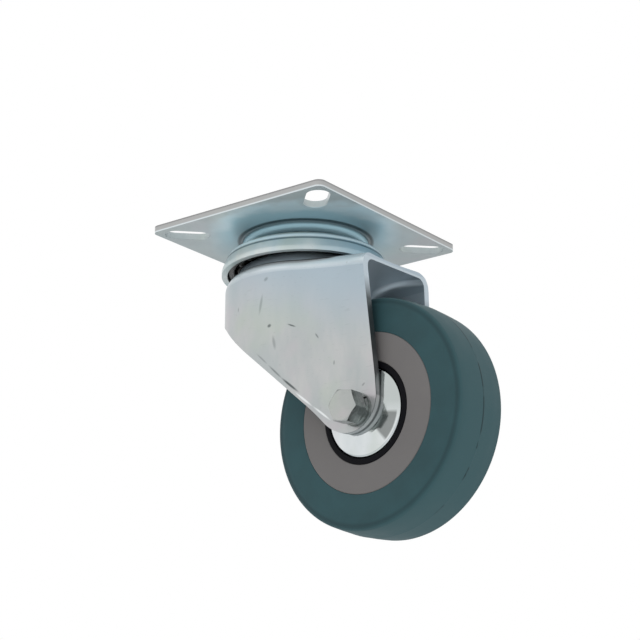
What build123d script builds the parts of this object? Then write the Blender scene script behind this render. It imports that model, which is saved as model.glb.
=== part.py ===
from build123d import *
import math
import os

# Swivel castor: a slotted top plate, a double ball-race swivel head, a pressed
# sheet-steel fork and a rubber-tyred wheel on two ball bearings.
# Millimetres, +Z up.  Origin: centre of the plate's mounting face, on the swivel
# axis.  The fork is built trailing along +X and then turned to its rest angle.

# ---------------------------------------------------------------- driving sizes
fit_gap = 0.05            # radial play of a fastener in its hole, same body
run_gap = 0.3             # play between curved faces that move past each other
race_gap = 0.25           # play of a ball in its groove

# top plate
plate_x = 94.0
plate_y = 101.0
plate_t = 3.0
plate_corner_r = 3.2
slot_dx = 36.2            # slot centre from the swivel axis, along X
slot_dy = 38.8            # slot centre from the swivel axis, along Y
slot_w = 10.2
slot_len = 20.0
slot_angle = 45.0         # slots point at the plate's corners
boss_r = 28.2             # pressed boss under the plate, outer radius
boss_drop = 5.0           # boss below the plate's underside
boss_bend = 2.4           # bend radius at the middle of the sheet

# swivel cup, the housing of the upper ball race
cup_t = 2.5
cup_crease_r = 34.8       # outer radius where the flare turns into the skirt
cup_crease_drop = 4.0     # crease below the cup's top face
cup_lip_r = 37.3
cup_flare_in = 0.7        # where the flare leaves the flat top, inside boss_r
cup_skirt_h = 10.0        # top face to the start of the lip
cup_lip_h = 1.8
cup_bend = 2.4

# ball races of the swivel head
race_ball_r = 3.0
upper_ring_r = 28.5
upper_ball_count = 20
upper_ball_drop = 6.7     # ball centres below the cup's top face
lower_ring_r = 20.0
lower_ball_count = 14

# kingpin
kingpin_r = 6.0
kingpin_head_r = 10.5
kingpin_head_h = 4.4
kingpin_head_edge = 1.6
kingpin_end = 2.0         # thread that shows past the nut
spacer_r = 9.0
lower_race_r = 24.5
lower_race_t = 3.0
groove_bite = 0.8         # how deep a ball groove is sunk in its race
kingpin_washer_r = 12.0
kingpin_washer_t = 2.0
kingpin_nut_af = 19.0
kingpin_nut_h = 10.0

# fork
sheet = 3.0
head_r = 35.5
crown_top = -22.0
crown_edge_r = 6.5
nose_start = 20.0         # the crown is level as far as this, then noses down
nose_r = 200.0
nose_bow = 2.1            # hollow of the crown's front edge, seen from above
crown_half = 22.0         # swivel plane to the outside of the crown's sides
crown_deep = 11.0         # the sides are upright this far down, then draw in
set_above = 13.0          # and are parallel again from here, above the axle
dome_r = 28.5             # shoulder radius of the raised race
dome_foot_r = 28.9
dome_flange = 1.6         # flat rim round the dome's foot
dome_rise = 5.0           # dome above the crown
dome_bends = [2.6, 1.6]   # bend radii at the shoulder and at the foot
flank_end = 2.2           # the flanks run into the straight legs this far behind the axle
rear_wall_z = -41.4       # lower edge of the wall behind the head
heel_x = -23.7            # where the rear edge turns down the leg
heel_z = -43.8
heel_blend = 10.0
waist_x = -0.7            # a point halfway down the trailing edge
waist_z = -63.9
trail_angle = 52.5        # slope of the trailing edge where it leaves the foot
foot_r = 14.3             # round foot of the leg
foot_back = 4.8           # centre of the foot's arc, behind the axle
foot_up = 5.5             # and above it
front_lean = 4.0          # lean of the leg's front edge, degrees
seat_play = 0.5           # coined washer seat on the leg, beyond the washer
swivel_rest = -3.75       # rest angle of the fork about the swivel axis

# wheel
axle_x = 46.4             # trail of the axle behind the swivel axis
axle_z = -93.0
tread_r = 50.0
tread_crown = 0.9         # the tread's middle stands above its shoulders by this
side_drop = 5.0           # flat side of the tyre ends this far below the tread
shoulder_in = 1.2         # shoulder's outer end, in from the tyre's side
shoulder_arc_r = 6.0
core_half = 14.6
core_r = 34.2
core_rib_r = 37.0         # rib that keys the tyre to the core
core_rib_half = 5.0
rib_taper = 1.5
core_edge = 0.5
tyre_sunk = 0.2           # tyre's side below the core's face
hub_ring_proud = 0.2      # hub ring's face above the core's face
hub_ring_r = 21.9
hub_flange_t = 2.2
hub_spigot_r = 17.6
hub_recess_r = 19.4       # recess round the thread guard
hub_recess = 1.3
side_play = 1.4           # core's face to the inside of a leg

# axle and wheel bearings
bolt_r = 4.0
bolt_head_af = 13.0
bolt_head_h = 7.4
bolt_head_turn = -10.0    # how the bolt head came to rest, degrees
bolt_end = 3.0
washer_r = 7.2
washer_t = 1.2
lock_washer_r = 6.8
lock_washer_t = 2.0
lock_split = 0.9          # width of the split in the lock washer
lock_slant = 30.0
lock_turn = 35.0
nut_h = 8.0
collar_in = 0.4           # nut's collar inside its flats
insert_h = 2.2
insert_t = 1.4
sleeve_r = 6.0
bearing_r = 14.0
bearing_w = 8.0
bearing_ball_r = 2.4
bearing_ball_count = 8
bearing_land = 2.4        # radial thickness of each bearing ring
bearing_lip = 1.2         # housing lip behind the bearing
spacer_ring_r = 8.6
guard_r = 19.0
guard_t = 1.0
guard_proud = 0.3         # guard's edge above the hub ring's face
guard_flat_r = 11.0
guard_lip = 1.0
guard_bends = [2.0, 0.6]
end_play = 0.1            # bearing's end face below the recess

# ---------------------------------------------------------------- derived places
boss_z = -plate_t - boss_drop                 # underside of the boss, top of the cup
dish_floor = boss_z + plate_t
cup_under = boss_z - cup_t
upper_ball_z = boss_z - upper_ball_drop
groove_r = race_ball_r + race_gap
crown_mid = crown_top - sheet / 2
dome_top = crown_top + dome_rise
dome_under = dome_top - sheet
lower_ball_z = dome_under - groove_r + groove_bite
lower_race_top = lower_ball_z - groove_r + groove_bite
lower_race_under = lower_race_top - lower_race_t
kingpin_nut_top = lower_race_under - kingpin_washer_t
kingpin_nut_under = kingpin_nut_top - kingpin_nut_h
spacer_bore = kingpin_r + fit_gap
leg_inner = core_half + side_play
leg_half = leg_inner + sheet                      # swivel plane to a leg's outer face
blend_x = axle_x - flank_end                      # where the flanks turn straight
crown_low = crown_top - crown_deep
set_z = axle_z + set_above
foot_x = axle_x - foot_back
foot_z = axle_z + foot_up
leg_reach = foot_x + foot_r + sheet               # longer than the legs, trimmed by the side outline
bow_r = ((crown_half - sheet) ** 2 + nose_bow ** 2) / (2 * nose_bow)
hub_ring_half = core_half + hub_ring_proud
tyre_half = core_half - tyre_sunk
shoulder_r = tread_r - tread_crown
shoulder_y = tyre_half - shoulder_in
tyre_side_r = tread_r - side_drop
guard_edge_half = hub_ring_half + guard_proud     # outer face of the guard's edge
bearing_out = hub_ring_half - hub_recess - end_play
bearing_in = bearing_out - bearing_w
bearing_mid = bearing_out - bearing_w / 2
bearing_ring_r = (sleeve_r + bearing_r) / 2       # circle of the ball centres
nut_seat = leg_half + washer_t
head_under = nut_seat + lock_washer_t
collar_r = bolt_head_af / 2 - collar_in

SIDES = {"near": -1, "far": 1}


# ---------------------------------------------------------------- helpers
def tube(outer, inner, low, high):
    """Round tube on the Z axis between two heights."""
    ring = Circle(outer) - Circle(inner)
    return Pos(0, 0, low) * extrude(ring, high - low)


def rod(radius, low, high):
    """Round bar on the Z axis between two heights."""
    return Pos(0, 0, low) * extrude(Circle(radius), high - low)


def pressed(points, bends, thickness):
    """Body of revolution about Z from the middle line of a pressed sheet."""
    line = FilletPolyline(*points, radius=bends)
    section = trace(line, line_width=thickness)
    return revolve(Plane.XZ * section, Axis.Z)


def turned(points):
    """Body of revolution about Z from (radius, height) corners."""
    return revolve(Plane.XZ * make_face(Polyline(*points, close=True)), Axis.Z)


def groove(ring_r, height, ball_r):
    """The ring of space that a row of balls runs in."""
    return Pos(0, 0, height) * Torus(ring_r, ball_r)


def ball_row(ring_r, height, ball_r, count):
    """Separate balls, evenly spaced on one circle."""
    spots = [Pos(0, 0, height) * loc for loc in PolarLocations(ring_r, count)]
    return [spot * Sphere(ball_r) for spot in spots]


def hex_prism(across_flats, low, high):
    """Hexagonal prism on the Z axis, corners eased by a 30 degree turned cone."""
    corner_r = across_flats / math.sqrt(3)
    ease = (corner_r - across_flats / 2) * math.tan(math.radians(30))
    prism = extrude(RegularPolygon(corner_r, 6), high - low)
    eased = turned([(0, 0), (across_flats / 2, 0), (corner_r, ease), (corner_r, high - low - ease),
                    (across_flats / 2, high - low), (0, high - low)])
    return Pos(0, 0, low) * (prism & eased)


def across(shape, side):
    """Lay a shape built on Z along the axle, its +Z end pointing out on one side."""
    return Pos(axle_x, 0, axle_z) * Rot(-90 * side, 0, 0) * shape


def at_rest(shapes):
    """Turn the fork's pieces about the swivel axis to where they rest."""
    return [Rot(0, 0, swivel_rest) * shape for shape in shapes]


# ---------------------------------------------------------------- plate group
def make_top_plate():
    """Flat plate with a pressed-down boss and four corner slots."""
    mid_r = boss_r - plate_t / 2
    join_r = mid_r + plate_t + boss_bend
    flat = RectangleRounded(plate_x, plate_y, plate_corner_r) - Circle(join_r)
    for sx in (-1, 1):
        for sy in (-1, 1):
            slot = SlotOverall(slot_len, slot_w, rotation=slot_angle * sx * sy)
            flat -= Pos(slot_dx * sx, slot_dy * sy) * slot
    dish = pressed([(kingpin_r + fit_gap, dish_floor - plate_t / 2), (mid_r, dish_floor - plate_t / 2),
                    (mid_r, -plate_t / 2), (join_r, -plate_t / 2)], boss_bend, plate_t)
    return extrude(flat, -plate_t) + dish


def make_swivel_cup():
    """Pressed cup whose flare holds the upper balls and whose skirt hides them."""
    half = cup_t / 2
    top = boss_z - half
    lip_mid = cup_lip_r - half
    cup = pressed([(kingpin_r + fit_gap, top), (boss_r - cup_flare_in, top),
                   (cup_crease_r - half, boss_z - cup_crease_drop), (lip_mid, boss_z - cup_skirt_h),
                   (lip_mid, boss_z - cup_skirt_h - cup_lip_h)], cup_bend, cup_t)
    return cup - groove(upper_ring_r, upper_ball_z, groove_r)


def make_kingpin():
    """Button-headed pin through the whole swivel head."""
    head = rod(kingpin_head_r, dish_floor, dish_floor + kingpin_head_h)
    head = fillet(head.edges().group_by(Axis.Z)[-1], kingpin_head_edge)
    shank = rod(kingpin_r, kingpin_nut_under - kingpin_end, dish_floor)
    return head + shank


def make_lower_race():
    """Flat race washer that carries the lower balls."""
    race = tube(lower_race_r, kingpin_r + fit_gap, lower_race_under, lower_race_top)
    return race - groove(lower_ring_r, lower_ball_z, groove_r)


def plate_group():
    """Everything that stays with the mounting surface."""
    nut = hex_prism(kingpin_nut_af, kingpin_nut_under, kingpin_nut_top)
    return {
        "top_plate": [make_top_plate()],
        "swivel_cup": [make_swivel_cup()],
        "upper_balls": ball_row(upper_ring_r, upper_ball_z, race_ball_r, upper_ball_count),
        "kingpin": [make_kingpin()],
        "kingpin_spacer": [tube(spacer_r, spacer_bore, lower_race_top, cup_under)],
        "lower_race": [make_lower_race()],
        "lower_balls": ball_row(lower_ring_r, lower_ball_z, race_ball_r, lower_ball_count),
        "kingpin_washer": [tube(kingpin_washer_r, spacer_bore, kingpin_nut_top, lower_race_under)],
        "kingpin_nut": [nut - rod(spacer_bore, kingpin_nut_under, kingpin_nut_top)],
    }


# ---------------------------------------------------------------- fork group
def plan_outline(inset, half):
    """Seen from above: round head running into two straight sides, open to the front."""
    blend = (blend_x ** 2 + half ** 2 - head_r ** 2) / (2 * (head_r - half))
    sides = Pos(leg_reach / 2) * Rectangle(leg_reach, 2 * (half - inset))
    outline = Circle(head_r - inset) + sides
    hollow = outline.vertices().filter_by(lambda v: 0 < v.X < head_r)
    return fillet(hollow, blend + inset)


def crown_section(inset):
    """Seen from the side: level over the head, then nosing down to the front."""
    top = crown_top - inset
    arc_r = nose_r - inset
    end = leg_reach
    fall = arc_r - math.sqrt(arc_r ** 2 - (end - nose_start) ** 2)
    back = -2 * head_r
    edges = Polyline((end, top - fall), (end, crown_low), (back, crown_low), (back, top), (nose_start, top))
    edges += RadiusArc((nose_start, top), (end, top - fall), arc_r)
    return make_face(edges)


def hood_block(inset, edge_r):
    """Solid block with the fork's outline: upright crown, sides drawn in, parallel legs."""
    wide = plan_outline(inset, crown_half)
    narrow = plan_outline(inset, leg_half)
    block = extrude(wide, crown_low) & extrude(Plane.XZ * crown_section(inset), 2 * head_r, both=True)
    crown = block.faces().filter_by(lambda f: f.normal_at(f.center()).Z > 0.5)
    rim = ShapeList(edge for face in crown for edge in face.edges())
    rim = rim.filter_by(lambda e: abs(e.tangent_at(0.5).Y) < 0.999 or e.geom_type != GeomType.LINE)
    block = fillet(rim, edge_r)
    block += loft([Pos(0, 0, crown_low) * wide, Pos(0, 0, set_z) * narrow])
    return block + Pos(0, 0, set_z) * extrude(narrow, axle_z - set_z - head_r)


def side_outline():
    """Seen from the side: level rear edge, hollow trailing edge, round foot, leaning front edge."""
    lean = math.radians(front_lean)
    slope = math.radians(trail_angle)
    back_x = -head_r - sheet
    start = (foot_x + foot_r * math.cos(lean), foot_z + foot_r * math.sin(lean))
    low = (foot_x, foot_z - foot_r)
    end = (foot_x - foot_r * math.sin(slope), foot_z - foot_r * math.cos(slope))
    top_x = start[0] + start[1] * math.tan(lean)
    edges = Polyline((back_x, rear_wall_z), (back_x, 0), (top_x, 0), start)
    edges += ThreePointArc(start, low, end)
    lower = TangentArc(end, (waist_x, waist_z), tangent=(-math.cos(slope), math.sin(slope)))
    upper = TangentArc((waist_x, waist_z), (heel_x, heel_z), tangent=lower % 1)
    edges += [lower, upper, Line((heel_x, heel_z), (back_x, rear_wall_z))]
    face = make_face(edges)
    bend = face.vertices().sort_by(lambda v: math.dist((v.X, v.Y), (heel_x, heel_z)))[0]
    return fillet(bend, heel_blend)


def make_fork():
    """One pressed sheet: raised race, crown, two legs joined by a wall behind the head."""
    hood = hood_block(0, crown_edge_r) - hood_block(sheet, crown_edge_r - sheet)
    rim_r = dome_foot_r + dome_flange
    dome = pressed([(spacer_r + run_gap, dome_top - sheet / 2), (dome_r, dome_top - sheet / 2),
                    (dome_foot_r, crown_mid), (rim_r + fit_gap, crown_mid)], dome_bends, sheet)
    hood = hood - rod(rim_r, crown_mid - sheet, crown_mid + sheet) + dome
    fork = hood & extrude(Plane.XZ * side_outline(), 2 * head_r, both=True)
    nose_x = foot_x + foot_r + (foot_z - crown_top) * math.tan(math.radians(front_lean))
    fork -= Pos(nose_x - nose_bow + bow_r) * rod(bow_r, crown_low + crown_edge_r, crown_top)
    fork -= across(rod(bolt_r + fit_gap, -head_r, head_r), 1)
    for side in SIDES.values():
        fork -= across(rod(washer_r + seat_play, leg_half, head_r), side)
    fork -= groove(upper_ring_r, upper_ball_z, groove_r)
    fork -= groove(lower_ring_r, lower_ball_z, groove_r)
    return fork


def make_axle_bolt():
    """Hexagon bolt from the near side; its head stands on a lock washer."""
    head = Rot(0, 0, bolt_head_turn) * hex_prism(bolt_head_af, head_under, head_under + bolt_head_h)
    tail = -nut_seat - nut_h - bolt_end
    return across(head + rod(bolt_r, tail, head_under), SIDES["near"])


def make_lock_washer():
    """Spring lock washer, split on a slant."""
    ring = tube(lock_washer_r, bolt_r + fit_gap, nut_seat, head_under)
    middle = Pos(lock_washer_r, 0, (nut_seat + head_under) / 2)
    split = middle * Rot(lock_slant, 0, 0) * Box(2 * bolt_r, lock_split, 3 * lock_washer_t)
    return across(Rot(0, 0, lock_turn) * (ring - split), SIDES["near"])


def make_axle_nut():
    """Hexagon nut with a round collar for its locking insert."""
    hexagon = hex_prism(bolt_head_af, nut_seat, nut_seat + nut_h - insert_h)
    collar = rod(collar_r, nut_seat, nut_seat + nut_h)
    pocket = rod(collar_r - insert_t / 2, nut_seat + nut_h - insert_h, nut_seat + nut_h)
    bore = rod(bolt_r + fit_gap, nut_seat, nut_seat + nut_h)
    return across(hexagon + collar - pocket - bore, SIDES["far"])


def make_nut_insert():
    """Locking ring in the nut's collar."""
    low = nut_seat + nut_h - insert_h
    ring = tube(collar_r - insert_t / 2, bolt_r + fit_gap, low, nut_seat + nut_h - insert_t / 2)
    return across(ring, SIDES["far"])


def make_thread_guard(side):
    """Shallow pressed cover, held between the leg and the bearing."""
    half = guard_t / 2
    flat_y = leg_inner - half
    edge_y = guard_edge_half - half
    cover = pressed([(sleeve_r + fit_gap, flat_y), (guard_flat_r, flat_y), (guard_r - half, edge_y),
                     (guard_r - half, edge_y - guard_lip)], guard_bends, guard_t)
    return across(cover, side)


def make_bearing_rings():
    """Inner and outer ring of one wheel bearing, each with its ball groove."""
    bite = groove(bearing_ring_r, bearing_mid, bearing_ball_r + race_gap)
    inner = tube(sleeve_r + bearing_land, sleeve_r, bearing_in, bearing_out)
    outer = tube(bearing_r, bearing_r - bearing_land, bearing_in, bearing_out)
    return inner - bite, outer - bite


def fork_group():
    """Everything that swivels but doesn't roll."""
    group = {
        "fork": [make_fork()],
        "axle_bolt": [make_axle_bolt()],
        "axle_nut": [make_axle_nut()],
        "nut_insert": [make_nut_insert()],
        "lock_washer": [make_lock_washer()],
        "axle_sleeve": [across(tube(sleeve_r, bolt_r + fit_gap, -leg_inner, leg_inner), 1)],
    }
    guard_under = leg_inner - guard_t
    for name, side in SIDES.items():
        inner, _ = make_bearing_rings()
        balls = ball_row(bearing_ring_r, bearing_mid, bearing_ball_r, bearing_ball_count)
        group["axle_washer_" + name] = [across(tube(washer_r, bolt_r + fit_gap, leg_half, nut_seat), side)]
        group["thread_guard_" + name] = [make_thread_guard(side)]
        group["spacer_ring_" + name] = [across(tube(spacer_ring_r, sleeve_r, bearing_out, guard_under), side)]
        group["bearing_inner_" + name] = [across(inner, side)]
        group["bearing_balls_" + name] = [across(ball, side) for ball in balls]
    return {name: at_rest(shapes) for name, shapes in group.items()}


# ---------------------------------------------------------------- wheel group
def make_tyre():
    """Rubber tread with a crowned face, rounded shoulders and a keyed inside."""
    rib = core_rib_half
    outer = Polyline((core_r, -tyre_half), (tyre_side_r, -tyre_half))
    outer += RadiusArc((tyre_side_r, -tyre_half), (shoulder_r, -shoulder_y), -shoulder_arc_r)
    outer += ThreePointArc((shoulder_r, -shoulder_y), (tread_r, 0), (shoulder_r, shoulder_y))
    outer += RadiusArc((shoulder_r, shoulder_y), (tyre_side_r, tyre_half), -shoulder_arc_r)
    outer += Polyline((tyre_side_r, tyre_half), (core_r, tyre_half), (core_r, rib + rib_taper),
                      (core_rib_r, rib), (core_rib_r, -rib), (core_r, -rib - rib_taper), (core_r, -tyre_half))
    return across(revolve(Plane.XZ * make_face(outer), Axis.Z), 1)


def make_core():
    """Moulded wheel centre, keyed to the tyre and bored for the two hub rings."""
    rib = core_rib_half
    edge = core_edge
    bore = bearing_r - bearing_lip
    depth = bearing_in - bearing_lip
    half = [(bore, depth), (hub_spigot_r, depth), (hub_spigot_r, hub_ring_half - hub_flange_t),
            (hub_ring_r, hub_ring_half - hub_flange_t), (hub_ring_r, core_half - edge),
            (hub_ring_r + edge, core_half), (core_r - edge, core_half), (core_r, core_half - edge),
            (core_r, rib + rib_taper), (core_rib_r, rib)]
    mirrored = [(r, -z) for r, z in reversed(half)]
    return across(turned(half + mirrored), 1)


def make_hub_ring(side):
    """Black bearing housing with a flange that shows round the thread guard."""
    back = bearing_in - bearing_lip
    recess_z = hub_ring_half - hub_recess
    ring = turned([(bearing_r - bearing_lip, back), (hub_spigot_r, back),
                   (hub_spigot_r, hub_ring_half - hub_flange_t), (hub_ring_r, hub_ring_half - hub_flange_t),
                   (hub_ring_r, hub_ring_half), (hub_recess_r, hub_ring_half), (hub_recess_r, recess_z),
                   (bearing_r, recess_z), (bearing_r, bearing_in), (bearing_r - bearing_lip, bearing_in)])
    return across(ring, side)


def wheel_group():
    """Everything that rolls."""
    group = {"tyre": [make_tyre()], "wheel_core": [make_core()]}
    for name, side in SIDES.items():
        _, outer = make_bearing_rings()
        group["hub_ring_" + name] = [make_hub_ring(side)]
        group["bearing_outer_" + name] = [across(outer, side)]
    return {name: at_rest(shapes) for name, shapes in group.items()}


# ---------------------------------------------------------------- output
os.makedirs("parts", exist_ok=True)
pieces = {**plate_group(), **fork_group(), **wheel_group()}
for node, shapes in pieces.items():
    solids = [solid for shape in shapes for solid in shape.solids()]
    body = solids[0] if len(solids) == 1 else Compound(children=solids)
    body.label = node
    export_step(body, "parts/" + node + ".step")
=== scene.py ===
import bmesh
import bpy
import math
from mathutils import Matrix, Vector


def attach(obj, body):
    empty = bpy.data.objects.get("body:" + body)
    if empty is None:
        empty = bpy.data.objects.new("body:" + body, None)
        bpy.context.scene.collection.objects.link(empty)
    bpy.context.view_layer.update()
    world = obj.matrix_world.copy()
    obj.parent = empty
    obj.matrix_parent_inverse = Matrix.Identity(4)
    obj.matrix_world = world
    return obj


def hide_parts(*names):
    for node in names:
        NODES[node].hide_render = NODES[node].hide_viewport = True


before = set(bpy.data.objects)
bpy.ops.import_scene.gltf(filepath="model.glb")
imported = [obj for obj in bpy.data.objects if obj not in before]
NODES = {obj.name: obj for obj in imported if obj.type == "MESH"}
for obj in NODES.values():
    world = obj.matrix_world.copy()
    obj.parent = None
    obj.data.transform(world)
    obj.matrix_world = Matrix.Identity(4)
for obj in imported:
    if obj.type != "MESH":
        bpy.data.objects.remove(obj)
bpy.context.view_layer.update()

# Swivel castor.  The frame is in metres: origin at the middle of the plate's mounting face, +Z up,
# the wheel trailing towards +X.  Sizes below are in millimetres, and MM turns them to metres.
MM = 0.001

# ---------------------------------------------------------------- how finely pieces are cut
LATHE_STEPS = 180            # facets round a turned piece
EASE_STEPS = 5               # facets round an eased corner
BEND_STEPS = 6               # facets round a bend in a sheet
SHARP_ANGLE = 38             # degrees between two faces from which their edge stays sharp

# ---------------------------------------------------------------- sizes of the swivel head
BORE_R = 6.05                # holes over the kingpin and over the axle sleeve
PLATE_HALF = (47.0, 50.5)
PLATE_CORNER_R = 3.2
PLATE_T = 3.0
BOSS_R = 28.2                # outside of the plate's boss
CUP_T = 2.5
CUP_BEND = 2.4
CUP_TOP = -8.0               # the cup's flat top, under the boss
CUP_FLAT_R = 27.5            # how far the flat top reaches
CUP_CREASE_R = 34.8          # the flare turns into the skirt at this radius
CUP_CREASE = -12.0           # and this height
CUP_LIP_R = 37.3
CUP_LIP_TOP = -18.0
CUP_LIP_END = -19.8
CROWN_TOP = -22.0            # the fork's level top

# ---------------------------------------------------------------- sizes of the fork's legs
SWIVEL_REST = -3.75          # degrees the fork is turned about the swivel axis
FRONT_LEAN = 4.0             # degrees the legs' front edge leans
FRONT_REACH = 49.69          # that edge's distance from the swivel axis, square to it
FOOT_IN = 16.0               # inner face of the legs beside the axle
FOOT_OUT = 19.0              # and their outer face
FASTENER_END = 29.6          # the bolt head's end face, out from the wheel's middle
FASTENER_FLAT_R = 6.5        # half across the flats of the bolt head and the axle nut

# ---------------------------------------------------------------- sizes of the wheel
AXLE = (46.4, 0.0, -93.0)    # middle of the wheel before the fork's turn
TYRE_HALF = 14.4             # half of the tyre's width
TYRE_SHOULDER_R = 47.2
CORE_HALF = 14.6
CORE_R = 34.2
RIB_R = 37.0                 # the rib that keys the tyre to the core
RIB_HALF = 5.0
RIB_FOOT = 6.5               # half of the rib's width where it leaves the core
HUB_R = 21.9                 # bearing housing's flange
HUB_FACE = 14.8
FLANGE_BACK = 12.6
SPIGOT_R = 17.6
LIP_R = 12.8                 # the lip behind the bearing
LIP_BACK = 4.1
LIP_FACE = 5.3
BEARING_R = 14.0
RECESS_R = 19.4              # recess round the thread guard
RECESS_FACE = 13.5
GUARD_R = 19.0
GUARD_FLAT_R = 11.0
GUARD_T = 1.0

# ---------------------------------------------------------------- sizes of the surfaces' patterns
FILM_CLOUD = 16.0            # clouds in the passivation
RAINBOW_CLOUD = 21.0         # its rosy and greenish patches
REFLECTION_EDGE = 14.0             # the bays in the edge of the plate's painted reflection
REFLECTION_BAY = 4.0               # how far those bays reach in and out
HAIRLINE = 9.0               # length of a drawing line; drawn wider than real so that it shows
SPANGLE = 0.9                # grain of the zinc; really 0.2, drawn coarser so that it shows
FLAT_MOTTLE = 1.6            # mottle on the fasteners' flats
LATHE_MARK = 0.8             # really 0.2, drawn coarser so that it shows
RUBBER_CLOUD = 18.0          # dust on the tyre
TORN_RUN = 12.0              # runs in which the mould's flash tore
RUBBER_SKIN = 0.7            # really 0.2, drawn coarser so that it shows
PLASTIC_CLOUD = 14.0         # flow of the plastic in the mould
SPARK_GRIT = 0.6             # really 0.1, drawn coarser so that it shows
# how deep those patterns are cut
SCRATCH_DEPTH = 0.03
LATHE_DEPTH = 0.03
SKIN_DEPTH = 0.06
GRIT_DEPTH = 0.04

# ---------------------------------------------------------------- camera, floor and lamps
CAMERA_AZIMUTH = 37.6        # degrees; 0 looks along +Y
CAMERA_ELEVATION = -18.1     # degrees; below the plate, looking up
CAMERA_ROLL = 0.16           # degrees
CAMERA_PLACE = (486.3, -620.8, -297.2)
CAMERA_LENS = 105.5          # focal length on the sensor below
CAMERA_SENSOR = 36.0
CAMERA_NEAREST = 10.0        # nearest distance that the camera draws
FLOOR_HALF = 4000.0
FLOOR_HEIGHT = -750.0
WORLD_TINT = (0.93, 0.96, 1.0, 1.0)
WORLD_LEVEL = 0.85           # light that the surroundings give to matt surfaces
# soft boxes: name, place, what they point at, side of the square, watts
LAMPS = (
    ("key", (-250, -900, 350), (20, 0, -60), 700, 2.5),
    ("fill", (900, -300, -100), (20, 0, -60), 600, 1.1),
    ("from_below", (250, -450, -650), (20, 0, -40), 600, 1.4),
)


# ---------------------------------------------------------------- small helpers
def linear(hex_colour):
    """An sRGB hex colour as linear red, green, blue and alpha."""
    values = [int(hex_colour[i:i + 2], 16) / 255 for i in (1, 3, 5)]
    return [v / 12.92 if v <= 0.04045 else ((v + 0.055) / 1.055) ** 2.4 for v in values] + [1.0]


def per_mm(size):
    """Texture scale, on a place in millimetres, for a pattern whose cells are this size."""
    return 1 / size


def add(tree, kind, inputs=(), **settings):
    """One node with its settings.  Inputs are named, or listed in the order of the sockets in use;
    each is a value, an output, or a node whose first output in use is meant."""
    node = tree.nodes.new(kind)
    for key, value in settings.items():
        setattr(node, key, value)
    if isinstance(inputs, dict):
        pairs = [(node.inputs[key], value) for key, value in inputs.items()]
    else:
        pairs = zip([socket for socket in node.inputs if socket.enabled], inputs)
    for socket, value in pairs:
        if isinstance(value, bpy.types.Node):
            value = next(output for output in value.outputs if output.enabled)
        if isinstance(value, bpy.types.NodeSocket):
            tree.links.new(value, socket)
        else:
            socket.default_value = value
    return node


def new_material(name):
    """An empty node material with its tree, ready for a shader."""
    material = bpy.data.materials.new(name)
    material.use_nodes = True
    material.node_tree.nodes.clear()
    return material, material.node_tree


def finish_material(tree, shader):
    """The shader is what the material shows."""
    add(tree, "ShaderNodeOutputMaterial", {"Surface": shader})


# ---------------------------------------------------------------- places and layers of tone
def place_in_mm(tree):
    """Where a point of the castor lies, in millimetres and with the castor at rest."""
    place = add(tree, "ShaderNodeTexCoord").outputs["Object"]
    return add(tree, "ShaderNodeVectorMath", {"Vector": place, "Scale": 1 / MM}, operation="SCALE")


def fork_frame(tree, place):
    """Place as seen by the fork before its turn: X forward over the wheel, Y across, Z up."""
    turn = (0.0, 0.0, math.radians(SWIVEL_REST))
    return add(tree, "ShaderNodeMapping", {"Vector": place, "Rotation": turn},
               vector_type="TEXTURE")


def from_axle(tree, place):
    """Distance from the axle, then forward, along the axle and up from the wheel's middle."""
    moved = add(tree, "ShaderNodeVectorMath", [fork_frame(tree, place), AXLE], operation="SUBTRACT")
    flat = add(tree, "ShaderNodeVectorMath", [moved, (1, 0, 1)], operation="MULTIPLY")
    reach = add(tree, "ShaderNodeVectorMath", [flat], operation="LENGTH")
    return reach, *add(tree, "ShaderNodeSeparateXYZ", [moved]).outputs


def from_swivel(tree, place):
    """Distance from the swivel axis, and height."""
    flat = add(tree, "ShaderNodeVectorMath", [place, (1, 1, 0)], operation="MULTIPLY")
    radius = add(tree, "ShaderNodeVectorMath", [flat], operation="LENGTH")
    return radius, add(tree, "ShaderNodeSeparateXYZ", [place]).outputs["Z"]


def met(tree, strength, *limits):
    """The strength where all limits are met, fading to nothing outside them.  A limit is a measure,
    where it starts, where it is full and, if it never falls to nothing, its least share."""
    for limit in limits:
        share = add(tree, "ShaderNodeMapRange", limit)
        strength = add(tree, "ShaderNodeMath", [strength, share], operation="MULTIPLY")
    return strength


def layered(tree, colour, layers):
    """The colour under layers of tone, each given as a hex colour and what met() asks for."""
    for tone, strength, *limits in layers:
        amount = met(tree, strength, *limits)
        colour = add(tree, "ShaderNodeMix", [amount, colour, linear(tone)], data_type="RGBA")
    return colour


# Handling marks on the near leg, scratches through the plating that look dark, and a painted shade
# line along the slanting rear edge.  Each has X, Y and Z of its middle, length, width, turn about Y
# in degrees, and depth of tone.
LEG_SCRATCHES_AND_EDGE_SHADE = (
    (17.0, -31.0, -53.3, 4.0, 0.9, -23, 0.75),
    (7.7, -34.6, -52.6, 2.2, 1.8, 30, 0.7),
    (26.5, -25.9, -58.4, 3.2, 0.9, -60, 0.5),
    (9.9, -34.1, -60.3, 7.5, 1.6, -80, 0.3),
    (3.5, -35.3, -42.4, 10.5, 1.6, 80, 0.3),
    (5.9, -35.0, -31.4, 2.8, 1.9, 40, 0.35),
    (-10.0, -34.1, -41.8, 2.6, 0.9, 80, 0.4),
    (33.5, -23.1, -70.8, 2.4, 1.0, 85, 0.4),
    (47.9, -22.2, -82.5, 2.4, 1.2, 35, 0.4),
    (41.4, -24.8, -28.2, 1.8, 1.2, 60, 0.5),
    # along the slanting rear edge: a painted shade line where the face rounds over into the edge
    (4.4, -35.1, -66.8, 8.6, 0.9, -45, 0.35),
    (10.6, -33.8, -73.3, 10.0, 1.0, -47, 0.5),
    (16.5, -31.2, -79.4, 11.0, 1.2, -45, 0.85),
)
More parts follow.
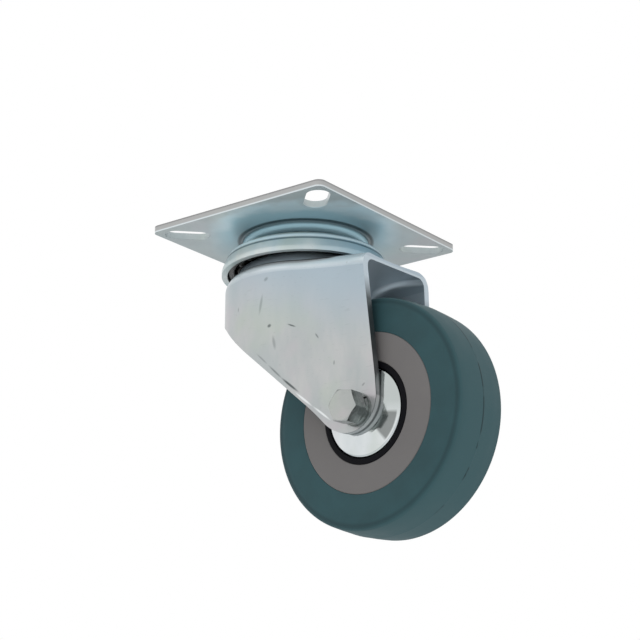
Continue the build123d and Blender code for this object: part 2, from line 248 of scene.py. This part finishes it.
# painted highlights along the same edge, further down, where its rounded corner catches the light
LEG_EDGE_HIGHLIGHTS = (
    (21.6, -28.2, -85.9, 10.0, 1.1, -46, 0.7),
    (28.2, -24.6, -92.2, 11.0, 1.1, -43, 0.7),
)
MARK_REACH = 6.25            # how deep into the sheet and out of it a mark still shows
MARK_CORE = 0.45             # share of a mark's size inside which it has its full depth


def marked(tree, place, marks, total=0.0):
    """Where the marks lie, each a soft-edged streak, on top of what total already covers."""
    for x, y, z, length, width, turn, depth in marks:
        shifted = add(tree, "ShaderNodeVectorMath", [place, (x, y, z)], operation="SUBTRACT")
        turned = add(tree, "ShaderNodeVectorRotate",
                     {"Vector": shifted, "Axis": (0, 1, 0), "Angle": math.radians(turn)})
        shrink = (2 / length, 1 / MARK_REACH, 2 / width)
        sized = add(tree, "ShaderNodeVectorMath", [turned, shrink], operation="MULTIPLY")
        away = add(tree, "ShaderNodeVectorMath", [sized], operation="LENGTH")
        mark = add(tree, "ShaderNodeMapRange", [away, 1.0, MARK_CORE, 0.0, depth])
        total = add(tree, "ShaderNodeMath", [total, mark], operation="MAXIMUM")
    return total


# ---------------------------------------------------------------- tones of the plated pieces
def plate_tones(tree, place, colour):
    """The underside is duller.  A greener tone round the boss, in a band towards one corner, with a
    paler ring where it begins, is a painted reflection of the cup and fork.  The sheared edges are
    dull, with a painted highlight along the lower corner; a painted shadow lies round the boss."""
    band_way, band_side = (0.61, -0.79, 0.0), (0.79, 0.61, 0.0)
    band_half, band_start = 33, 4
    reflection_r = 37              # the painted reflection is fullest this far round the swivel axis
    high_up = 1000.0         # leaves height out of the plate's outline
    radius, height = from_swivel(tree, place)
    normal = add(tree, "ShaderNodeTexCoord").outputs["Normal"]
    facing = add(tree, "ShaderNodeSeparateXYZ", [normal]).outputs["Z"]
    along = add(tree, "ShaderNodeVectorMath", [place, band_way], operation="DOT_PRODUCT")
    across = add(tree, "ShaderNodeVectorMath", [place, band_side], operation="DOT_PRODUCT")
    beside = add(tree, "ShaderNodeMath", [across], operation="ABSOLUTE")
    underside = [(height, 0.4 - PLATE_T, 0.1 - PLATE_T), (facing, 0.2, -0.1)]
    reflecting = underside + [(beside, band_half + 10, band_half, 0.15),
                          (along, band_start - 26, band_start, 0.15)]
    bays = add(tree, "ShaderNodeTexNoise",
               {"Vector": place, "Scale": per_mm(REFLECTION_EDGE), "Detail": 2.0})
    ragged = add(tree, "ShaderNodeMapRange", [bays, 0.3, 0.7, -REFLECTION_BAY, REFLECTION_BAY])
    reach = add(tree, "ShaderNodeMath", [radius, ragged], operation="ADD")
    painted_reflection = add(tree, "ShaderNodeMapRange", [reach, reflection_r + 13, reflection_r, 0.0, 0.9],
                interpolation_type="SMOOTHSTEP")
    colour = layered(tree, colour, [
        # duller all over
        ("#959d9e", 0.4, *underside),
        # the painted reflection of the cup and fork, and its paler ring where it begins
        ("#a3cad6", painted_reflection, *reflecting),
        ("#cfe6ee", 0.6, *reflecting, (reach, reflection_r + 1, reflection_r + 6),
         (reach, reflection_r + 17, reflection_r + 10)),
    ])

    # how far a point lies outside the plate's outline drawn in by its corner radius
    drawn_in = (PLATE_HALF[0] - PLATE_CORNER_R, PLATE_HALF[1] - PLATE_CORNER_R, high_up)
    spread = add(tree, "ShaderNodeVectorMath", [place], operation="ABSOLUTE")
    past = add(tree, "ShaderNodeVectorMath", [spread, drawn_in], operation="SUBTRACT")
    past = add(tree, "ShaderNodeVectorMath", [past, (0, 0, 0)], operation="MAXIMUM")
    rim = add(tree, "ShaderNodeVectorMath", [past], operation="LENGTH")
    edge = layered(tree, linear("#a6a5a3"), [
        # a painted highlight along the lower corner, and the upper corner darker
        ("#d3dadc", 1.0, (height, 0.8 - PLATE_T, 0.4 - PLATE_T)),
        ("#7f7d7c", 1.0, (height, -0.9, -0.3)),
    ])
    sheared = met(tree, 0.9, (rim, PLATE_CORNER_R - 0.12, PLATE_CORNER_R - 0.03))
    colour = add(tree, "ShaderNodeMix", [sheared, colour, edge], data_type="RGBA")

    # how far a point lies from the middle of the round where the boss meets the plate
    out = add(tree, "ShaderNodeMath", [radius, BOSS_R + 0.9], operation="SUBTRACT")
    down = add(tree, "ShaderNodeMath", [height, PLATE_T + 0.4], operation="ADD")
    away = add(tree, "ShaderNodeVectorMath", [add(tree, "ShaderNodeCombineXYZ", [out, down])],
               operation="LENGTH")
    # painted shadow in the corner round the boss
    return layered(tree, colour, [("#1f3136", 0.8, (away, 1.8, 0.9))])


def fork_tones(tree, place, colour):
    """Painted highlights on the top bend and along the rear edge, painted shade towards the back of
    the head and on the crown under the cup, a darker front edge, and dark lines along the feet's
    corners.
    """
    turned = fork_frame(tree, place)
    forward, across, height = add(tree, "ShaderNodeSeparateXYZ", [turned]).outputs
    normal = add(tree, "ShaderNodeTexCoord").outputs["Normal"]
    facing = add(tree, "ShaderNodeSeparateXYZ", [normal]).outputs["Z"]
    radius = from_swivel(tree, place)[0]
    lean = math.radians(FRONT_LEAN)
    front = add(tree, "ShaderNodeVectorMath", [turned, (math.cos(lean), 0.0, math.sin(lean))],
                operation="DOT_PRODUCT")
    # nearly 1 on the legs' outer and inner faces, nearly 0 on their edges
    turn = math.radians(SWIVEL_REST)
    flat = add(tree, "ShaderNodeVectorMath", [normal, (-math.sin(turn), math.cos(turn), 0.0)],
               operation="DOT_PRODUCT")
    flat = add(tree, "ShaderNodeMath", [flat], operation="ABSOLUTE")
    away = add(tree, "ShaderNodeMath", [across], operation="ABSOLUTE")
    inner = met(tree, 0.8, (away, FOOT_IN + 0.9, FOOT_IN + 0.5))
    outer = met(tree, 0.8, (away, FOOT_OUT - 0.45, FOOT_OUT - 0.25))
    corner = add(tree, "ShaderNodeMath", [inner, outer], operation="MAXIMUM")
    return layered(tree, colour, [
        # painted highlight on the bend at the top of the sides
        ("#f2f8fa", 0.85, (facing, 0.02, 0.3), (height, CROWN_TOP + 0.1, CROWN_TOP - 0.6),
         (forward, -15, 25, 0.412)),
        # painted shade: darker towards the back of the head, where the sheet turns away
        ("#93a2a6", 0.45, (forward, -6, -34)),
        # painted highlights along the rear edge
        ("#f3f6f6", marked(tree, place, LEG_EDGE_HIGHLIGHTS)),
        # painted shade: the crown black in the gap under the cup
        ("#0e1412", 0.95, (facing, 0.74, 0.82), (radius, CUP_LIP_R + 3.2, CUP_LIP_R + 0.7)),
        # the front edge is dark, most so down to the wheel's hub
        ("#2c3435", 0.9, (front, FRONT_REACH - 0.12, FRONT_REACH - 0.05),
         (height, CROWN_TOP - 14, CROWN_TOP - 24), (height, AXLE[2] + 9, AXLE[2] + 25, 0.55)),
        # a dark line along both corners of the feet's edges
        ("#3a4242", corner, (flat, 0.5, 0.3), (height, AXLE[2] + 19, AXLE[2] + 13)),
    ])


def guard_tones(tree, place, colour):
    """The guard is painted greyer above the axle as shade, and darker in one patch as a painted
    reflection.
    """
    reach, forward, _, up = from_axle(tree, place)
    bearing = add(tree, "ShaderNodeMath", [up, forward], operation="ARCTAN2")
    bearing = add(tree, "ShaderNodeMath", [bearing], operation="DEGREES")
    return layered(tree, colour, [
        # painted shade: greyer above the axle
        ("#b9c0be", 0.85, (up, -7, 2)),
        # the painted reflection lies between two bearings in degrees, on the cone outside the flat
        ("#7a7e7d", 0.85, (bearing, -53, -48), (bearing, -6, -11),
         (reach, GUARD_FLAT_R - 0.7, GUARD_FLAT_R + 0.3), (reach, GUARD_R - 1.1, GUARD_R - 1.7)),
    ])


def fastener_tones(tree, place, colour):
    """The flats of the bolt head and nut are mottled and painted darker as shade, beside the bright
    end face.
    """
    reach, _, along, _ = from_axle(tree, place)
    out = add(tree, "ShaderNodeMath", [along], operation="ABSOLUTE")
    mottle = add(tree, "ShaderNodeTexNoise",
                 {"Vector": place, "Scale": per_mm(FLAT_MOTTLE), "Detail": 3.0})
    return layered(tree, colour, [
        # painted shade on the flats, with a mottle
        ("#7f8583", 1.0, (reach, FASTENER_FLAT_R - 0.5, FASTENER_FLAT_R - 0.2),
         (reach, FASTENER_FLAT_R + 2.5, FASTENER_FLAT_R + 2.0),
         (out, FASTENER_END - 0.3, FASTENER_END - 0.7), (mottle, 0.35, 0.6, 0.55)),
    ])


def cup_tones(tree, place, colour):
    """Inside, the cup is black: painted shade, with grease.  Outside, a painted highlight on the
    shoulder and a painted reflection as a dark line under it.
    """
    flare = 0.417            # how much the skirt widens for each millimetre down
    radius, height = from_swivel(tree, place)
    narrowed = add(tree, "ShaderNodeMath", [height, flare], operation="MULTIPLY")
    straight = add(tree, "ShaderNodeMath", [radius, narrowed], operation="ADD")
    return layered(tree, colour, [
        # painted highlight on the shoulder
        ("#edf6f9", 0.85, (height, CUP_CREASE - 1.1, CUP_CREASE - 0.7),
         (height, CUP_CREASE + 0.8, CUP_CREASE + 0.2)),
        # a dark line under it: a painted reflection
        ("#3b5661", 0.75, (height, CUP_CREASE - 2.4, CUP_CREASE - 2.0),
         (height, CUP_CREASE - 1.1, CUP_CREASE - 1.5)),
        # the black inside: painted shade, with grease
        ("#101817", 1.0, (straight, 28.6, 27.9),
         (height, CUP_LIP_TOP - 1.0, CUP_LIP_TOP - 0.4)),
    ])


# ---------------------------------------------------------------- materials
def zinc_plated(name, colour, cloud, roughness, metallic, tones, wash=None, marks=()):
    """Pressed steel, bright zinc plated and blue passivated: cool satin metal with faint clouds,
    fine drawing lines and hairline scratches from handling."""
    material, tree = new_material(name)
    place = place_in_mm(tree)
    tall = add(tree, "ShaderNodeMapping", {"Vector": place, "Scale": (1.0, 1.0, 0.35)})
    clouds = add(tree, "ShaderNodeTexNoise",
                 {"Vector": tall, "Scale": per_mm(FILM_CLOUD), "Detail": 4.0, "Roughness": 0.6})
    rainbow = add(tree, "ShaderNodeTexNoise",
                  {"Vector": place, "Scale": per_mm(RAINBOW_CLOUD), "Detail": 2.0})
    tone = layered(tree, linear(colour), [
        (cloud, 1.0, (clouds, 0.38, 0.64)),
        # blue passivation shows the ghost of a rainbow: rosy and greenish clouds
        ("#c2b6bc", 0.4, (rainbow, 0.54, 0.68)),
        ("#b2bdb0", 0.4, (rainbow, 0.46, 0.32)),
    ])
    if wash:
        # a cooler, darker tint that grows towards one end of the piece
        tint, axis, low, high = wash
        along = add(tree, "ShaderNodeVectorMath", [place, axis], operation="DOT_PRODUCT")
        tint_share = add(tree, "ShaderNodeMapRange", [along, low, high], interpolation_type="SMOOTHSTEP")
        tone = layered(tree, tone, [(tint, tint_share)])
    # hairlines: a pattern 14 times longer than wide, askew on every piece
    drawn_out = add(tree, "ShaderNodeMapping",
                    {"Vector": place, "Rotation": (0.3, 0.5, 0.9), "Scale": (1.0, 14.0, 14.0)})
    lines = add(tree, "ShaderNodeTexNoise",
                {"Vector": drawn_out, "Scale": per_mm(HAIRLINE), "Detail": 2.0})
    hairlines = met(tree, 1.0, (lines, 0.66, 0.72))
    scratched_and_shaded = marked(tree, place, marks, met(tree, 0.1, (lines, 0.66, 0.72)))
    tone = tones(tree, place, layered(tree, tone, [("#3c4646", scratched_and_shaded)]))
    spangle = add(tree, "ShaderNodeTexNoise",
                  {"Vector": place, "Scale": per_mm(SPANGLE), "Detail": 3.0})
    rough = add(tree, "ShaderNodeMapRange",
                [spangle, 0.3, 0.7, roughness - 0.01, roughness + 0.02])
    bump = add(tree, "ShaderNodeBump",
               {"Height": hairlines, "Strength": 0.1, "Distance": SCRATCH_DEPTH * MM},
               invert=True)
    finish_material(tree, add(tree, "ShaderNodeBsdfPrincipled", {
        "Base Color": tone, "Metallic": metallic, "Roughness": rough, "Normal": bump}))
    return material


def turned_steel(name, colour, roughness):
    """Plain turned or ground steel: fine lathe marks that spread the highlight."""
    material, tree = new_material(name)
    lathe_marks = add(tree, "ShaderNodeTexNoise",
                      {"Vector": place_in_mm(tree), "Scale": per_mm(LATHE_MARK), "Detail": 2.0})
    rough = add(tree, "ShaderNodeMapRange",
                [lathe_marks, 0.3, 0.7, roughness - 0.06, roughness + 0.06])
    bump = add(tree, "ShaderNodeBump",
               {"Height": lathe_marks, "Strength": 0.08, "Distance": LATHE_DEPTH * MM})
    finish_material(tree, add(tree, "ShaderNodeBsdfPrincipled", {
        "Base Color": linear(colour), "Metallic": 1.0, "Roughness": rough, "Normal": bump}))
    return material


def moulded_rubber(name):
    """Elastic rubber tyre, moulded: dull blue-grey with a fine matt skin, paler where it is dusty,
    a paler tread and a dark shoulder line that are painted light and shade, and a broken dark line
    where the mould's halves met."""
    material, tree = new_material(name)
    place = place_in_mm(tree)
    clouds = add(tree, "ShaderNodeTexNoise",
                 {"Vector": place, "Scale": per_mm(RUBBER_CLOUD), "Detail": 5.0, "Roughness": 0.6})
    reach, _, along, _ = from_axle(tree, place)
    outward = add(tree, "ShaderNodeMath", [reach, TYRE_SHOULDER_R], operation="SUBTRACT")
    beside = add(tree, "ShaderNodeMath", [outward], operation="ABSOLUTE")
    from_middle = add(tree, "ShaderNodeMath", [along], operation="ABSOLUTE")
    torn = add(tree, "ShaderNodeTexNoise",
               {"Vector": place, "Scale": per_mm(TORN_RUN), "Detail": 3.0})
    tone = layered(tree, linear("#264145"), [
        ("#2d4a4e", 1.0, (clouds, 0.35, 0.7)),
        # painted light: the tread paler than the sides
        ("#385559", 0.8, (reach, TYRE_SHOULDER_R + 1.0, TYRE_SHOULDER_R + 2.2)),
        # painted shade: a dark line on the shoulder beside it
        ("#1b3034", 0.5, (beside, 1.3, 0.2)),
        # the mould's line shows only where the flash tore
        ("#14282c", 0.8, (from_middle, 0.55, 0.25), (torn, 0.5, 0.58)),
    ])
    rough = add(tree, "ShaderNodeMapRange", [clouds, 0.3, 0.7, 0.55, 0.68])
    skin = add(tree, "ShaderNodeTexNoise",
               {"Vector": place, "Scale": per_mm(RUBBER_SKIN), "Detail": 3.0})
    bump = add(tree, "ShaderNodeBump",
               {"Height": skin, "Strength": 0.2, "Distance": SKIN_DEPTH * MM})
    finish_material(tree, add(tree, "ShaderNodeBsdfPrincipled", {
        "Base Color": tone, "Roughness": rough, "IOR": 1.52, "Specular IOR Level": 0.25,
        "Normal": bump}))
    return material


def moulded_plastic(name, colour, cloud, roughness, ior, shine=0.5):
    """Injection-moulded plastic with a spark-eroded matt skin."""
    material, tree = new_material(name)
    place = place_in_mm(tree)
    clouds = add(tree, "ShaderNodeTexNoise",
                 {"Vector": place, "Scale": per_mm(PLASTIC_CLOUD), "Detail": 3.0})
    tone = layered(tree, linear(colour), [(cloud, clouds)])
    grit = add(tree, "ShaderNodeTexNoise",
               {"Vector": place, "Scale": per_mm(SPARK_GRIT), "Detail": 2.0})
    rough = add(tree, "ShaderNodeMapRange", [grit, 0.3, 0.7, roughness - 0.04, roughness + 0.06])
    bump = add(tree, "ShaderNodeBump",
               {"Height": grit, "Strength": 0.15, "Distance": GRIT_DEPTH * MM})
    finish_material(tree, add(tree, "ShaderNodeBsdfPrincipled", {
        "Base Color": tone, "Roughness": rough, "IOR": ior, "Specular IOR Level": shine,
        "Normal": bump}))
    return material


def dress_nodes():
    """Give every carried-over node the finish of the real piece."""
    # pressed sheet: satin, and partly matt where the film covers the metal
    plate = zinc_plated("zinc_passivated_plate", "#b3bbbb", "#a9b3b4", 0.3, 0.35, plate_tones)
    cup = zinc_plated("zinc_passivated_cup", "#ccd3d2", "#b9c8cc", 0.38, 0.6, cup_tones,
                      wash=("#93b0bd", (0.79, 0.61, 0.0), -8, 30))
    fork = zinc_plated("zinc_passivated_fork", "#bfbfbe", "#b0b5b5", 0.34, 0.7, fork_tones,
                       wash=("#a9b7c0", (0.35, 0.0, 1.0), -54, -18), marks=LEG_SCRATCHES_AND_EDGE_SHADE)
    # bolts, nuts and washers are tumbled bright, and the guards are pressed from polished sheet
    fastener = zinc_plated("zinc_passivated_fastener", "#b1b4b1", "#a3a8a6", 0.2, 0.9,
                           fastener_tones)
    guard = zinc_plated("zinc_passivated_guard", "#dde1e2", "#d2d8da", 0.1, 1.0, guard_tones)
    # races are ground and gleam softly, tube is drawn and duller, balls are polished
    ground = turned_steel("ground_bearing_steel", "#b9bcbe", 0.22)
    drawn = turned_steel("drawn_steel_tube", "#a8abab", 0.35)
    ball = turned_steel("polished_ball_steel", "#8c8f90", 0.12)
    # rubber and plastics: the core is matt, the nut's insert blue, and the housings deep black with
    # almost no shine, which also paints the shade round the guard
    rubber = moulded_rubber("moulded_elastic_rubber")
    core = moulded_plastic("moulded_grey_polypropylene", "#646160", "#6a6765", 0.55, 1.49, 0.25)
    black = moulded_plastic("moulded_black_nylon", "#09090c", "#0d0d11", 0.45, 1.53, 0.06)
    insert = moulded_plastic("blue_nylon_insert", "#3b6ea5", "#4477ad", 0.4, 1.53)
    # grease has the same make-up: faint clouds and a finely broken gloss
    grease = moulded_plastic("packed_bearing_grease", "#11130f", "#1a1b15", 0.3, 1.47)
    pieces_by_finish = (
        (plate, "top_plate"),
        (cup, "swivel_cup"),
        (fork, "fork"),
        (fastener, "kingpin kingpin_washer kingpin_nut axle_bolt lock_washer axle_nut axle_washer"),
        (guard, "thread_guard"),
        (ground, "lower_race bearing_inner bearing_outer"),
        (drawn, "kingpin_spacer spacer_ring axle_sleeve"),
        (ball, "lower_balls bearing_balls"),
        (rubber, "tyre"),
        (core, "wheel_core"),
        (black, "hub_ring"),
        (insert, "nut_insert"),
        # painted shade: the upper balls take the dark grease finish, as they sit in the shade of
        # the cup
        (grease, "grease upper_balls"),
    )
    finishes = {kind: material
                for material, kinds in pieces_by_finish for kind in kinds.split()}
    for name, node in NODES.items():
        kind = name.replace("_near", "").replace("_far", "")
        for slot in node.material_slots:
            slot.material = finishes[kind]
    return finishes


# ---------------------------------------------------------------- how pieces are turned and pressed
# an outline's heights run along +Z on the swivel axis, and along +Y of the resting fork on the axle
TO_SWIVEL = Matrix.Identity(4)
TO_AXLE = (Matrix.Rotation(math.radians(SWIVEL_REST), 4, "Z") @ Matrix.Translation(Vector(AXLE))
           @ Matrix.Rotation(math.radians(-90), 4, "X"))
SIDES = (("near", -1), ("far", 1))


def rounded(before, here, after, radius, steps):
    """Points of an arc that rounds the corner here, between the corners before and after it."""
    back = (before - here).normalized()
    on = (after - here).normalized()
    half = back.angle(on) / 2
    centre = here + (back + on).normalized() * (radius / math.sin(half))
    first = here + back * (radius / math.tan(half)) - centre
    last = here + on * (radius / math.tan(half)) - centre
    return [centre + first.lerp(last, step / steps).normalized() * radius
            for step in range(steps + 1)]


def eased(corners):
    """Closed outline through (radius, height, ease) corners, each rounded by its ease radius."""
    points = [Vector(corner[:2]) for corner in corners]
    outline = []
    for k, (here, corner) in enumerate(zip(points, corners)):
        after = points[(k + 1) % len(points)]
        ease = corner[2]
        outline += rounded(points[k - 1], here, after, ease, EASE_STEPS) if ease else [here]
    return outline


def pressed(corners, thickness):
    """Closed outline of a sheet whose middle line runs through (radius, height, bend) corners."""
    points = [Vector(corner[:2]) for corner in corners]
    middle = [points[0]]
    for k in range(1, len(points) - 1):
        middle += rounded(points[k - 1], points[k], points[k + 1], corners[k][2], BEND_STEPS)
    middle.append(points[-1])
    left, right = [], []
    for k, point in enumerate(middle):
        run = (middle[min(k + 1, len(middle) - 1)] - middle[max(k - 1, 0)]).normalized()
        side = Vector((-run.y, run.x)) * thickness / 2
        left.append(point + side)
        right.append(point - side)
    return left + right[::-1]


def mirrored(half):
    """A half's corners on the other side, in the order that goes on round the outline."""
    return [(radius, -height, ease) for radius, height, ease in reversed(half)]


def flipped(outline, side):
    """The outline for one side of the wheel: heights count outward."""
    return [(radius, height * side) for radius, height in outline]


def lathe(name, outline, placing, material, body, *nodes):
    """Piece turned from a closed (radius, height) outline, standing for the CAD nodes named."""
    count = len(outline)
    verts, faces = [], []
    for step in range(LATHE_STEPS):
        angle = math.tau * step / LATHE_STEPS
        for radius, height in outline:
            point = Vector((radius * math.cos(angle), radius * math.sin(angle), height))
            verts.append(placing @ point * MM)
        here, there = step * count, (step + 1) % LATHE_STEPS * count
        for k in range(count):
            after = (k + 1) % count
            faces.append((here + k, there + k, there + after, here + after))
    mesh = bpy.data.meshes.new(name)
    mesh.from_pydata(verts, [], faces)
    shape = bmesh.new()
    shape.from_mesh(mesh)
    bmesh.ops.recalc_face_normals(shape, faces=shape.faces)
    shape.to_mesh(mesh)
    shape.free()
    mesh.shade_smooth()
    mesh.set_sharp_from_angle(angle=math.radians(SHARP_ANGLE))
    mesh.materials.append(material)
    piece = bpy.data.objects.new(name, mesh)
    bpy.context.collection.objects.link(piece)
    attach(piece, body)
    if nodes:
        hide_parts(*nodes)


# ---------------------------------------------------------------- the turned and pressed pieces
def make_tyre(material):
    """Tyre with a crowned tread, soft shoulders and the mould's parting ridge."""
    shoulder = [(45.0, TYRE_HALF, 2.0), (47.7, 14.02, 2.0), (49.1, 13.2, 1.6), (49.6, 7.0, 30.0)]
    ridge = [(49.92, 0.5, 0.3), (49.98, 0.0, 0.6), (49.92, -0.5, 0.3)]
    key = [(RIB_R, RIB_HALF, 0), (CORE_R, RIB_FOOT, 0), (CORE_R, TYRE_HALF, 0.3)]
    outline = eased(shoulder + ridge + mirrored(shoulder) + mirrored(key) + key)
    lathe("tyre_moulded", outline, TO_AXLE, material, "wheel", "tyre")


def make_core(material):
    """Wheel centre: a flat moulded disc each side with eased rims."""
    half = [(LIP_R, LIP_BACK, 0), (SPIGOT_R, LIP_BACK, 0), (SPIGOT_R, FLANGE_BACK, 0),
            (HUB_R, FLANGE_BACK, 0), (HUB_R, CORE_HALF, 0.45), (CORE_R, CORE_HALF, 0.6),
            (CORE_R, RIB_FOOT, 0), (RIB_R, RIB_HALF, 0)]
    lathe("core_moulded", eased(half + mirrored(half)), TO_AXLE, material, "wheel", "wheel_core")


def make_hub_rings(material):
    """Black bearing housings; the flange's lip is eased."""
    outline = eased([(LIP_R, LIP_BACK, 0), (SPIGOT_R, LIP_BACK, 0), (SPIGOT_R, FLANGE_BACK, 0),
                     (HUB_R, FLANGE_BACK, 0), (HUB_R, HUB_FACE, 0.35), (RECESS_R, HUB_FACE, 0.35),
                     (RECESS_R, RECESS_FACE, 0.2), (BEARING_R, RECESS_FACE, 0),
                     (BEARING_R, LIP_FACE, 0), (LIP_R, LIP_FACE, 0)])
    for name, side in SIDES:
        lathe("hub_ring_moulded_" + name, flipped(outline, side), TO_AXLE, material, "wheel",
              "hub_ring_" + name)


def make_thread_guards(material):
    """Shallow pressed covers with a rolled rim."""
    flat, rim_r = FOOT_IN - GUARD_T / 2, GUARD_R - GUARD_T / 2
    outline = pressed([(BORE_R, flat), (GUARD_FLAT_R, flat, 2.6), (rim_r, CORE_HALF, 0.6),
                       (rim_r, RECESS_FACE + 0.1)], GUARD_T)
    for name, side in SIDES:
        lathe("thread_guard_pressed_" + name, flipped(outline, side), TO_AXLE, material, "fork",
              "thread_guard_" + name)


def make_cup(material):
    """Pressed cup over the upper balls: flat top, flare, skirt and rolled lip."""
    inside = CUP_T / 2
    outline = pressed([(BORE_R, CUP_TOP - inside), (CUP_FLAT_R, CUP_TOP - inside, CUP_BEND),
                       (CUP_CREASE_R - inside, CUP_CREASE, CUP_BEND),
                       (CUP_LIP_R - inside, CUP_LIP_TOP, CUP_BEND),
                       (CUP_LIP_R - inside, CUP_LIP_END)], CUP_T)
    lathe("swivel_cup_pressed", outline, TO_SWIVEL, material, "plate", "swivel_cup")


def make_grease_and_shade(material):
    """Grease that the balls have pushed out against the inside of the cup; dark, it also paints the
    shade in the gap under the cup.
    """
    outline = eased([(31.7, -12.6, 0.3), (32.4, -13.0, 0.3), (34.4, -17.6, 0.4),
                     (34.3, -18.6, 0.5), (32.8, -18.9, 0.6), (31.7, -18.2, 0.4)])
    lathe("packed_grease", outline, TO_SWIVEL, material, "plate")


# ---------------------------------------------------------------- stage
def make_camera():
    """Camera below the plate, looking up at the near side of the wheel."""
    azimuth = math.radians(CAMERA_AZIMUTH)
    elevation = math.radians(CAMERA_ELEVATION)
    roll = math.radians(CAMERA_ROLL)
    level = math.cos(elevation)
    back = Vector((math.sin(azimuth) * level, -math.cos(azimuth) * level, math.sin(elevation)))
    right = (-back).cross(Vector((0, 0, 1))).normalized()
    up = right.cross(-back)
    right, up = (right * math.cos(roll) + up * math.sin(roll),
                 up * math.cos(roll) - right * math.sin(roll))
    camera = bpy.data.objects.new("camera", bpy.data.cameras.new("camera"))
    camera.data.lens = CAMERA_LENS
    camera.data.sensor_width = CAMERA_SENSOR
    camera.data.clip_start = CAMERA_NEAREST * MM
    turn = Matrix((right, up, back)).transposed().to_4x4()
    camera.matrix_world = Matrix.Translation(Vector(CAMERA_PLACE) * MM) @ turn
    bpy.context.collection.objects.link(camera)
    bpy.context.scene.camera = camera


def make_lamps():
    """Square soft boxes, hidden from reflections."""
    for name, place, aim, size, watts in LAMPS:
        data = bpy.data.lights.new(name, "AREA")
        data.shape = "SQUARE"
        data.size = size * MM
        data.energy = watts
        lamp = bpy.data.objects.new(name, data)
        lamp.location = Vector(place) * MM
        lamp.rotation_euler = (Vector(aim) - Vector(place)).to_track_quat("-Z", "Y").to_euler()
        lamp.visible_glossy = False
        bpy.context.collection.objects.link(lamp)


def make_world():
    """Even pale surroundings, seen as white by the camera and in reflections."""
    world = bpy.data.worlds.new("studio")
    bpy.context.scene.world = world
    world.use_nodes = True
    tree = world.node_tree
    tree.nodes.clear()
    rays = add(tree, "ShaderNodeLightPath").outputs
    seen = add(tree, "ShaderNodeMath", [rays["Is Camera Ray"], rays["Is Glossy Ray"]],
               operation="MAXIMUM")
    seen = add(tree, "ShaderNodeMath", [seen, rays["Is Transmission Ray"]], operation="MAXIMUM")
    lit = add(tree, "ShaderNodeBackground", {"Color": WORLD_TINT, "Strength": WORLD_LEVEL})
    shown = add(tree, "ShaderNodeBackground", {"Color": (1.0, 1.0, 1.0, 1.0), "Strength": 1.0})
    both = add(tree, "ShaderNodeMixShader", [seen, lit, shown])
    add(tree, "ShaderNodeOutputWorld", {"Surface": both})


def make_floor():
    """A pale matt floor, well below the hanging castor."""
    half, height = FLOOR_HALF * MM, FLOOR_HEIGHT * MM
    corners = [(-half, -half, height), (half, -half, height), (half, half, height),
               (-half, half, height)]
    mesh = bpy.data.meshes.new("floor")
    mesh.from_pydata(corners, [], [(0, 1, 2, 3)])
    floor = bpy.data.objects.new("floor", mesh)
    bpy.context.collection.objects.link(floor)
    material, tree = new_material("pale_matt_floor")
    finish_material(tree, add(tree, "ShaderNodeBsdfPrincipled",
                              {"Base Color": linear("#f4f4f2"), "Roughness": 0.9}))
    mesh.materials.append(material)


finishes = dress_nodes()
make_tyre(finishes["tyre"])
make_core(finishes["wheel_core"])
make_hub_rings(finishes["hub_ring"])
make_thread_guards(finishes["thread_guard"])
make_cup(finishes["swivel_cup"])
make_grease_and_shade(finishes["grease"])
make_camera()
make_world()
make_floor()
make_lamps()

bpy.context.scene.view_settings.view_transform = "Standard"
